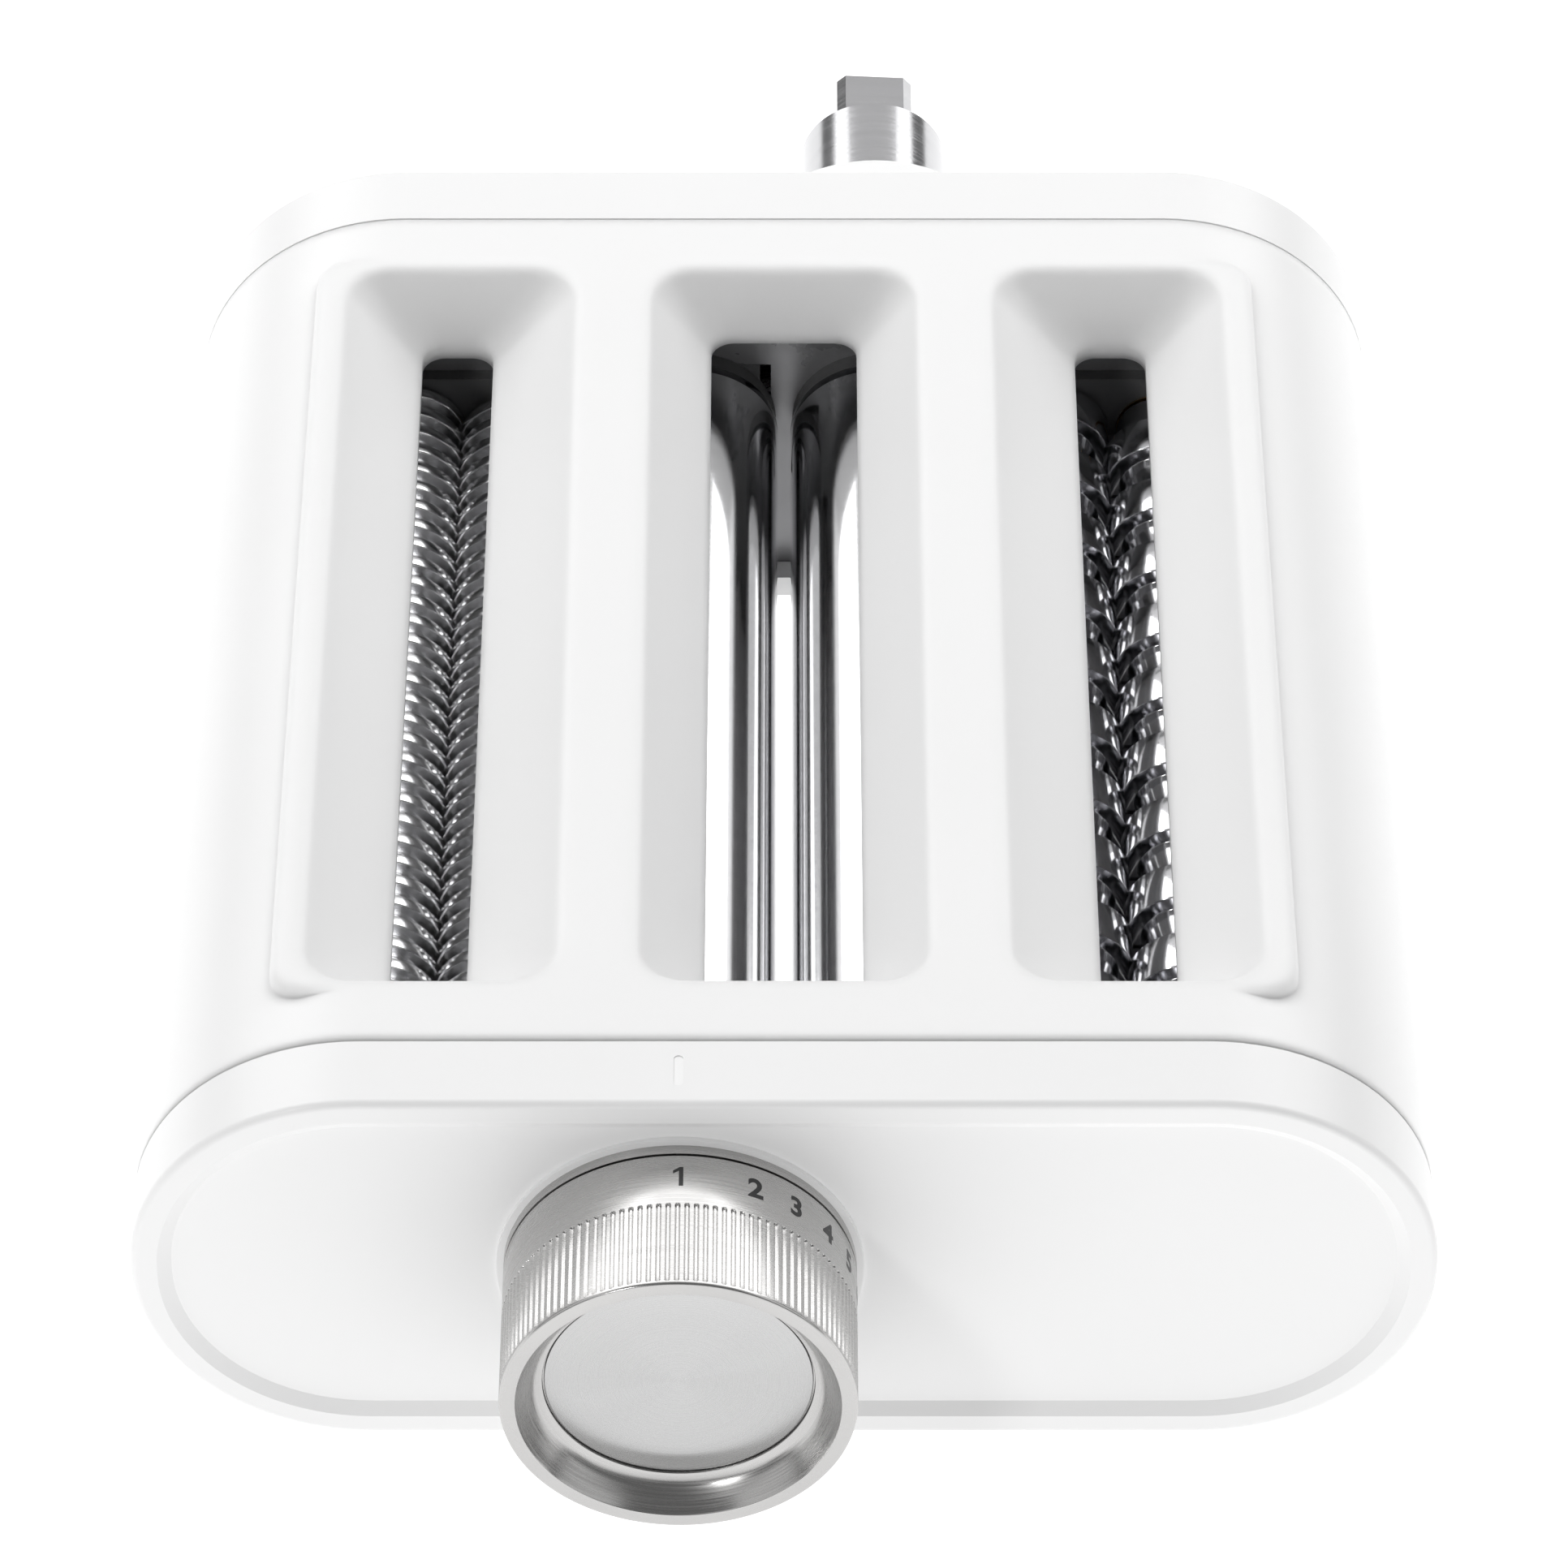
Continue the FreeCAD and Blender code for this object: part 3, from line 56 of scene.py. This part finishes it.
# The dial, in mm: its skirt and grip radius, and where the grip flutes begin and end along Y.
DIAL_RADIUS = 23.0
FLUTES_FRONT, FLUTES_BACK = -133.1, -120.2
FLUTE_WIDTH, FLUTE_DEPTH, FLUTE_COUNT = 0.30, 0.34, 120
DISC_RADIUS = 17.5
DIAL_AXIS = Vector((-0.0135, 0, 0.0315))

# Degrees round the dial: number 1 to number 2, and each later step.
FIRST_STEP, NUMBER_STEP = 25.5, 15.5

# The grooved length of every cutter along Y, in mm.
CUTTER_FRONT, CUTTER_BACK = -88.45, 57.95


# ------------------------------------------------------------------ materials

class Look:
    """A Principled material with short ways to add procedural detail."""

    def __init__(self, name, colour, roughness, metallic=0.0, **sockets):
        self.material = bpy.data.materials.new(name)
        self.material.use_nodes = True
        self.tree = self.material.node_tree
        self.bsdf = self.tree.nodes["Principled BSDF"]
        self.put("Base Color", (*colour, 1))
        self.put("Roughness", roughness)
        self.put("Metallic", metallic)
        for socket, value in sockets.items():
            self.put(socket.replace("_", " "), value)
        self.bumps = None

    def put(self, socket, value):
        self.bsdf.inputs[socket].default_value = value

    def node(self, kind, **values):
        node = self.tree.nodes.new("ShaderNode" + kind)
        for key, value in values.items():
            setattr(node, key, value)
        return node

    def link(self, out, into):
        self.tree.links.new(out, into)

    def coords(self, stretch=(1, 1, 1)):
        where, scale = self.node("TexCoord"), self.node("Mapping")
        scale.inputs["Scale"].default_value = stretch
        self.link(where.outputs["Object"], scale.inputs["Vector"])
        return scale.outputs["Vector"]

    def noise(self, scale, detail=3.0, stretch=(1, 1, 1), rough=0.55):
        node = self.node("TexNoise")
        node.inputs["Scale"].default_value = scale
        node.inputs["Detail"].default_value = detail
        node.inputs["Roughness"].default_value = rough
        self.link(self.coords(stretch), node.inputs["Vector"])
        return node.outputs["Fac"]

    def spread(self, fac, low, high, start=0.35, end=0.65):
        """Map a factor from start..end to low..high."""
        node = self.node("MapRange")
        for key, value in (("From Min", start), ("From Max", end), ("To Min", low), ("To Max", high)):
            node.inputs[key].default_value = value
        self.link(fac, node.inputs["Value"])
        return node.outputs["Result"]

    def roughness(self, fac, low, high):
        self.link(self.spread(fac, low, high), self.bsdf.inputs["Roughness"])
        return self

    def tint(self, fac, low, high):
        ramp = self.node("ValToRGB")
        ramp.color_ramp.elements[0].position, ramp.color_ramp.elements[1].position = 0.3, 0.7
        ramp.color_ramp.elements[0].color, ramp.color_ramp.elements[1].color = (*low, 1), (*high, 1)
        self.link(fac, ramp.inputs["Fac"])
        self.link(ramp.outputs["Color"], self.bsdf.inputs["Base Color"])
        return self

    def bump(self, height, distance, strength=1.0):
        node = self.node("Bump")
        node.inputs["Strength"].default_value = strength
        node.inputs["Distance"].default_value = distance
        self.link(height, node.inputs["Height"])
        if self.bumps:
            self.link(self.bumps, node.inputs["Normal"])
        self.bumps = node.outputs["Normal"]
        self.link(self.bumps, self.bsdf.inputs["Normal"])
        return self

    def rings(self, centre, scale):
        """Noise in circles round a Y axis through centre."""
        where, shift = self.node("TexCoord"), self.node("Mapping")
        length = self.node("VectorMath", operation="LENGTH")
        shift.inputs["Location"].default_value = (-centre.x, 0, -centre.z)
        shift.inputs["Scale"].default_value = (1, 0, 1)
        self.link(where.outputs["Object"], shift.inputs["Vector"])
        self.link(shift.outputs["Vector"], length.inputs[0])
        noise = self.node("TexNoise", noise_dimensions="1D")
        noise.inputs["Scale"].default_value = scale
        noise.inputs["Detail"].default_value = 3.0
        self.link(length.outputs["Value"], noise.inputs["W"])
        return noise.outputs["Fac"]

    def round_edges(self, radius):
        """Soften moulded edges in the shading, under the bumps that are already there."""
        bevel = self.node("Bevel", samples=6)
        bevel.inputs["Radius"].default_value = radius
        first = next(n for n in self.tree.nodes if n.type == "BUMP" and not n.inputs["Normal"].is_linked)
        self.link(bevel.outputs["Normal"], first.inputs["Normal"])
        return self

    def radial(self, amount):
        """Brushing in circles round Y."""
        tangent = self.node("Tangent", direction_type="RADIAL", axis="Y")
        self.link(tangent.outputs["Tangent"], self.bsdf.inputs["Tangent"])
        self.put("Anisotropic", amount)
        return self


def moulded(name, colour, roughness):
    """Injection-moulded plastic: fine grain, faint flow marks."""
    look = Look(name, colour, roughness, Specular_IOR_Level=0.5)
    dark = tuple(c * 0.985 for c in colour)
    look.tint(look.noise(18, 2), dark, colour)
    look.roughness(look.noise(900, 4), roughness * 0.85, roughness * 1.15)
    look.bump(look.noise(2600, 2), 0.00001, 0.25)
    return look


def turned(name, colour, roughness, lines=0.0000015, spread=0.3):
    """Metal turned on a lathe: fine rings along Y."""
    look = Look(name, colour, roughness, 1.0)
    rings = look.noise(1, 5, (60, 5200, 60), 0.6)
    look.roughness(rings, roughness * (1 - spread), roughness * (1 + spread))
    look.tint(look.noise(70, 3, (1, 6, 1)), tuple(c * 0.95 for c in colour), colour)
    look.bump(rings, lines, 0.6)
    return look


looks = {
    "shell_white": moulded("shell_white", (0.86, 0.86, 0.86), 0.34),
    "plate_steel": turned("plate_steel", (0.34, 0.34, 0.35), 0.36),
    "roller_steel": turned("roller_steel", (0.78, 0.78, 0.79), 0.10),
    "cutter_steel": turned("cutter_steel", (0.95, 0.95, 0.96), 0.20),
    "wide_steel": turned("wide_steel", (0.78, 0.78, 0.80), 0.13),
    "dark_plastic": moulded("dark_plastic", (0.15, 0.15, 0.153), 0.45),
    "comb_plastic": moulded("comb_plastic", (0.2, 0.2, 0.21), 0.5),
    "knob_metal": turned("knob_metal", (0.50, 0.495, 0.49), 0.27),
    "shank_steel": turned("shank_steel", (0.52, 0.52, 0.53), 0.18),
    "gear_steel": turned("gear_steel", (0.45, 0.45, 0.46), 0.3),
    "bush_bronze": turned("bush_bronze", (0.56, 0.38, 0.2), 0.3),
    "screw_steel": turned("screw_steel", (0.55, 0.55, 0.55), 0.25),
    "seal_rubber": moulded("seal_rubber", (0.02, 0.02, 0.02), 0.7),
    "mark_grey": moulded("mark_grey", (0.9, 0.9, 0.9), 0.4),
    "spring_steel": turned("spring_steel", (0.5, 0.5, 0.51), 0.2),
}
upper_white = moulded("upper_shell_white", (0.865, 0.865, 0.865), 0.34).round_edges(0.0026)
disc = Look("disc_metal", (0.50, 0.50, 0.50), 0.27, 1.0).radial(0.9)
looks["plate_steel"].put("Metallic", 0.35)
disc_rings = disc.rings(DIAL_AXIS, 7000)
disc.roughness(disc_rings, 0.20, 0.34)
disc.tint(disc_rings, (0.46, 0.46, 0.46), (0.53, 0.53, 0.53))
disc.bump(disc_rings, 0.0000015, 0.5)
looks["disc_metal"] = disc
roller_end = turned("roller_end_steel", (0.10, 0.10, 0.105), 0.2)
ink = Look("dial_ink", (0.012, 0.012, 0.013), 0.35)
ink.bump(ink.noise(3000, 2), 0.000004, 0.3)


def dress(obj, slot):
    """Give an object the look of its material slot."""
    obj.data.materials.clear()
    obj.data.materials.append(looks[slot].material)


def soften(obj, degrees=32):
    """Shade smooth, with sharp edges where faces meet at more than this angle."""
    obj.data.shade_smooth()
    obj.data.set_sharp_from_angle(angle=math.radians(degrees))


# ------------------------------------------------------------------ mesh pieces

def mesh_object(name, verts, faces, slot, body, smooth, second=None, second_faces=()):
    """A piece made from points and faces. Those in second_faces get the second look."""
    data = bpy.data.meshes.new(name)
    data.from_pydata([tuple(v) for v in verts], [], faces)
    data.update()
    obj = bpy.data.objects.new(name, data)
    scene.collection.objects.link(obj)
    dress(obj, slot)
    if second:
        data.materials.append(second.material)
        for index in second_faces:
            data.polygons[index].material_index = 1
    bm = bmesh.new()
    bm.from_mesh(data)
    bmesh.ops.recalc_face_normals(bm, faces=bm.faces)
    bm.to_mesh(data)
    bm.free()
    soften(obj, smooth)
    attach(obj, body)
    return obj


def lathe(profile, centre, steps, radius_at=None):
    """Rings round a Y axis through centre. profile holds (radius, y) in mm and is closed by its caps
    where the radius is 0. radius_at(radius, y, angle) may shape each point."""
    verts, faces, rings = [], [], []
    for radius, y in profile:
        if radius == 0:
            rings.append([len(verts)])
            verts.append(centre + Vector((0, y, 0)) * MM)
            continue
        ring = []
        for step in range(steps):
            angle = 2 * math.pi * step / steps
            r = radius_at(radius, y, angle) if radius_at else radius
            ring.append(len(verts))
            verts.append(centre + Vector((r * math.sin(angle), y, r * math.cos(angle))) * MM)
        rings.append(ring)
    for a, b in zip(rings, rings[1:]):
        for step in range(steps):
            after = (step + 1) % steps
            if len(a) == 1 and len(b) == 1:
                continue
            if len(a) == 1:
                faces.append((a[0], b[step], b[after]))
            elif len(b) == 1:
                faces.append((a[step], a[after], b[0]))
            else:
                faces.append((a[step], a[after], b[after], b[step]))
    return verts, faces


def eased(profile, size):
    """Cut every corner of a (radius, y) profile back by size, twice, so that it reads as a small round."""
    points = [Vector(p) for p in profile]
    for share in (1.0, 0.3):
        out = [points[0]]
        for before, here, after in zip(points, points[1:], points[2:]):
            to_before, to_after = before - here, after - here
            back = min(size * share, to_before.length * 0.35)
            ahead = min(size * share, to_after.length * 0.35)
            out += [here + to_before.normalized() * back, here + to_after.normalized() * ahead]
        points = out + [points[-1]]
    return [(p.x, p.y) for p in points]


def centre_of(node):
    """The middle of a node in X and Z, where its Y axis runs."""
    low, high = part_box(node)
    return Vector(((low.x + high.x) / 2, 0, (low.z + high.z) / 2))


def y_range(node):
    """Where a node begins and ends along Y, in mm."""
    low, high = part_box(node)
    return low.y / MM, high.y / MM


def cutter(name, node, body, slot, count, disc_first, radius=8.15, core=5.95, journal=4.0):
    """One cutter with small rounds on its disc edges."""
    low, high = CUTTER_FRONT, CUTTER_BACK
    pitch = (high - low) / count
    ends = y_range(node)
    profile = [(0, ends[0]), (journal, ends[0]), (journal, low)]
    inside = False
    start = low if disc_first else low + pitch / 2
    for index in range(count):
        a = max(low, start + index * pitch + (0 if index == 0 and disc_first else 0.05))
        b = start + index * pitch + pitch / 2 - 0.05
        b = min(b, high) if b < high - 0.06 else high
        if not (index == 0 and disc_first):
            profile.append((core, low) if index == 0 else (core, a))
            if index == 0:
                profile.append((core, a))
        profile += [(radius, a), (radius, b)]
        if b < high:
            profile.append((core, b))
    if disc_first:
        profile.append((core, high))
    profile += [(journal, high), (journal, ends[1]), (0, ends[1])]
    verts, faces = lathe(eased(profile, 0.16), centre_of(node), 128)
    piece = mesh_object(name, verts, faces, slot, body, 50)
    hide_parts(node)


def roller(name, node, body):
    """Smooth roller with eased ends and a dark band at each end."""
    low, high = y_range(node)
    radius = (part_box(node)[1].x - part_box(node)[0].x) / 2 / MM
    bore = 5.0 if "left" in name else 6.0
    band = 1.7
    profile = [(bore, low), (radius - 0.5, low), (radius - 0.12, low + 0.15), (radius, low + 0.5),
               (radius, low + band), (radius, low + 12), (radius, high - 12), (radius, high - band),
               (radius, high - 0.5), (radius - 0.12, high - 0.15), (radius - 0.5, high), (bore, high),
               (bore, low)]
    steps = 256
    verts, faces = lathe(profile, centre_of(node), steps)
    dark = [i for i in range(len(faces)) if i // steps not in (4, 5, 6)]
    piece = mesh_object(name, verts, faces, "roller_steel", body, 40, roller_end, dark)
    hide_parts(node)


def flute_depth(y, angle):
    """Depth of the round-ended grip flutes at a point of the dial's side."""
    pitch = 2 * math.pi / FLUTE_COUNT
    across = ((angle + pitch / 2) % pitch - pitch / 2) * DIAL_RADIUS
    past = max(0.0, y - FLUTES_BACK, FLUTES_FRONT - y)
    share = (across ** 2 + past ** 2) / FLUTE_WIDTH ** 2
    return FLUTE_DEPTH * math.sqrt(1 - share) if share < 1 else 0.0


def knob():
    """Aluminium thickness dial: numbered skirt, fluted grip, recessed face."""
    centre = centre_of("knob_body")
    tip, back = y_range("knob_body")
    outer, rim, seat = DIAL_RADIUS, 20.8, DISC_RADIUS
    web = tip + 4.5
    rows = [FLUTES_BACK + past for past in (0.4, 0.3, 0.25, 0.18, 0.1, 0)]
    rows += [-121.0, -124.0, -127.0, -130.0, -132.3]
    rows += [FLUTES_FRONT - past for past in (0, 0.1, 0.18, 0.25, 0.3)]
    profile = [(0, back), (outer - 0.35, back), (outer - 0.1, back - 0.1), (outer, back - 0.35),
               (outer, back - 3), (outer, back - 6)]
    profile += [(outer, y) for y in rows]
    profile += [(outer, tip + 0.45), (outer - 0.08, tip + 0.2), (outer - 0.22, tip + 0.06),
                (outer - 0.45, tip),
                (rim + 0.35, tip), (rim + 0.12, tip + 0.06), (rim, tip + 0.25), (rim - 0.25, tip + 0.8),
                (19.9, tip + 1.9), (19.35, tip + 2.8), (18.95, tip + 3.4), (18.5, tip + 3.85),
                (18.0, tip + 4.12), (seat + 0.18, tip + 4.25), (seat + 0.05, tip + 4.3), (seat, tip + 4.42),
                (seat, web + 0.5), (0, web + 0.5)]
    verts, faces = lathe(profile, centre, 1200,
                         lambda r, y, angle: r - flute_depth(y, angle) if r == outer else r)
    piece = mesh_object("dial_body", verts, faces, "knob_metal", "knob", 38)
    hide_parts("knob_body")
    profile = [(0, web), (6, web), (12, web), (seat - 0.42, web), (seat - 0.28, web + 0.05),
               (seat - 0.2, web + 0.18), (seat - 0.2, web + 0.8), (0, web + 0.8)]
    verts, faces = lathe(profile, centre, 256)
    face = mesh_object("dial_disc", verts, faces, "disc_metal", "knob", 38)
    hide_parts("knob_face_disc")


def digit_one():
    """A plain upright stroke with a short flag at its top left."""
    bm = bmesh.new()
    outline = [(0.17, 0), (0.17, 0.7), (0.08, 0.7), (-0.11, 0.57), (-0.11, 0.46), (0.05, 0.56), (0.05, 0)]
    top = bm.faces.new([bm.verts.new((x, y, 0.02)) for x, y in outline])
    sides = bmesh.ops.extrude_face_region(bm, geom=[top])["geom"]
    for v in [item for item in sides if isinstance(item, bmesh.types.BMVert)]:
        v.co.z = -0.02
    bmesh.ops.recalc_face_normals(bm, faces=bm.faces)
    data = bpy.data.meshes.new("digit_one")
    bm.to_mesh(data)
    bm.free()
    return data


def digit(number):
    """A digit in the built-in font, as a mesh."""
    text = bpy.data.curves.new(f"number_{number}", "FONT")
    text.body = str(number)
    text.size = 1.0
    text.offset = 0.03
    text.extrude = 0.02
    carrier = bpy.data.objects.new("number_text", text)
    scene.collection.objects.link(carrier)
    bpy.context.view_layer.update()
    data = bpy.data.meshes.new_from_object(carrier)
    bpy.data.objects.remove(carrier)
    return data


def dial_numbers():
    """Numbers 1 to 8 in black, wrapped onto the knob's skirt."""
    centre = centre_of("knob_body")
    height, base = 3.3, -116.9
    for number in range(1, 9):
        turn = 0 if number == 1 else math.radians(FIRST_STEP + NUMBER_STEP * (number - 2))
        data = digit_one() if number == 1 else digit(number)
        bm = bmesh.new()
        bm.from_mesh(data)
        bmesh.ops.subdivide_edges(bm, edges=[e for e in bm.edges if e.calc_length() > 0.12], cuts=2)
        bm.to_mesh(data)
        bm.free()
        low = min(v.co.y for v in data.vertices)
        high = max(v.co.y for v in data.vertices)
        middle = (min(v.co.x for v in data.vertices) + max(v.co.x for v in data.vertices)) / 2
        scale = height / (high - low)
        for v in data.vertices:
            along, up, out = (v.co.x - middle) * scale, (v.co.y - low) * scale, v.co.z
            r = DIAL_RADIUS + (0.02 if out > 0 else -0.05)
            angle = turn + along / DIAL_RADIUS
            v.co = centre + Vector((r * math.sin(angle), base + up, r * math.cos(angle))) * MM
        piece = bpy.data.objects.new(f"dial_number_{number}", data)
        scene.collection.objects.link(piece)
        data.materials.clear()
        data.materials.append(ink.material)
        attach(piece, "knob")


# ------------------------------------------------------------------ dress the CAD nodes

slots = {s["node"]: s["material_slot"] for s in frame["record"]["subparts"]}
for name, obj in frame["nodes"].items():
    dress(obj, slots[name])
    soften(obj)
upper = frame["nodes"]["upper_shell"].data
upper.materials[0] = upper_white.material

cutter("fine_cutter_left", "fine_cutter_outer", "fine_outer", "cutter_steel", 36, False)
cutter("fine_cutter_right", "fine_cutter_inner", "fine_inner", "cutter_steel", 36, True)
cutter("wide_cutter_left", "wide_cutter_inner", "wide_inner", "wide_steel", 11, False)
cutter("wide_cutter_right", "wide_cutter_outer", "wide_outer", "wide_steel", 11, True)
roller("left_sheet_roller", "left_roller", "left_roll")
roller("right_sheet_roller", "right_roller", "drive")
knob()
dial_numbers()


# ------------------------------------------------------------------ floor, light and camera

def area(name, size, power, place, target):
    """A rectangular white lamp at place, facing target."""
    light = bpy.data.lights.new(name, "AREA")
    light.shape = "RECTANGLE"
    light.size, light.size_y = size
    light.energy = power
    obj = bpy.data.objects.new(name, light)
    scene.collection.objects.link(obj)
    obj.location = place
    obj.rotation_euler = (Vector(target) - Vector(place)).to_track_quat("-Z", "Y").to_euler()


floor_data = bpy.data.meshes.new("floor")
floor_data.from_pydata([(-6, -6, 0), (6, -6, 0), (6, 6, 0), (-6, 6, 0)], [], [(0, 1, 2, 3)])
floor = bpy.data.objects.new("floor", floor_data)
scene.collection.objects.link(floor)
floor_look = Look("floor_pale", (0.3, 0.3, 0.3), 0.9, Specular_IOR_Level=0.0)
floor_look.put("Emission Color", (1, 1, 1, 1))
floor_look.put("Emission Strength", 1.15)
floor_data.materials.append(floor_look.material)

world = bpy.data.worlds.new("studio")
world.use_nodes = True
world.node_tree.nodes["Background"].inputs["Color"].default_value = (1, 1, 1, 1)
world.node_tree.nodes["Background"].inputs["Strength"].default_value = 0.18
scene.world = world
scene.view_settings.view_transform = "Standard"

area("top_softbox", (2.2, 0.8), 9.8, (0.0, 0.50, 1.0), (0, 0.50, 0))
area("rear_left_softbox", (0.9, 1.1), 7.0, (-1.0, 1.2, 1.0), (0, 0, 0.03))
area("rear_right_softbox", (0.9, 1.1), 7.0, (1.0, 1.2, 1.0), (0, 0, 0.03))
area("rear_panel", (1.6, 1.4), 4.0, (0.0, 1.6, 1.5), (0, 0, 0.03))
area("left_softbox", (1.0, 1.4), 3.0, (-1.5, -0.2, 0.9), (0, 0, 0.03))
area("right_softbox", (1.0, 1.4), 3.0, (1.5, -0.2, 0.9), (0, 0, 0.03))
area("low_front_softbox", (2.4, 0.5), 4.0, (0.0, -1.3, 0.25), (0, -0.1, 0.03))
area("front_left_lamp", (0.3, 0.3), 6.0, (-1.0, -1.3, 1.4), (0, -0.12, 0.03))

camera_data = bpy.data.cameras.new("camera")
camera_data.sensor_width = 36
camera_data.lens = 176.907
camera_data.clip_start, camera_data.clip_end = 0.05, 20
camera = bpy.data.objects.new("camera", camera_data)
scene.collection.objects.link(camera)
camera.location = (0, -0.7972, 0.7634)
aim = Vector((0, -0.0507, 0.0625))
camera.rotation_euler = (aim - camera.location).to_track_quat("-Z", "Y").to_euler()
scene.camera = camera
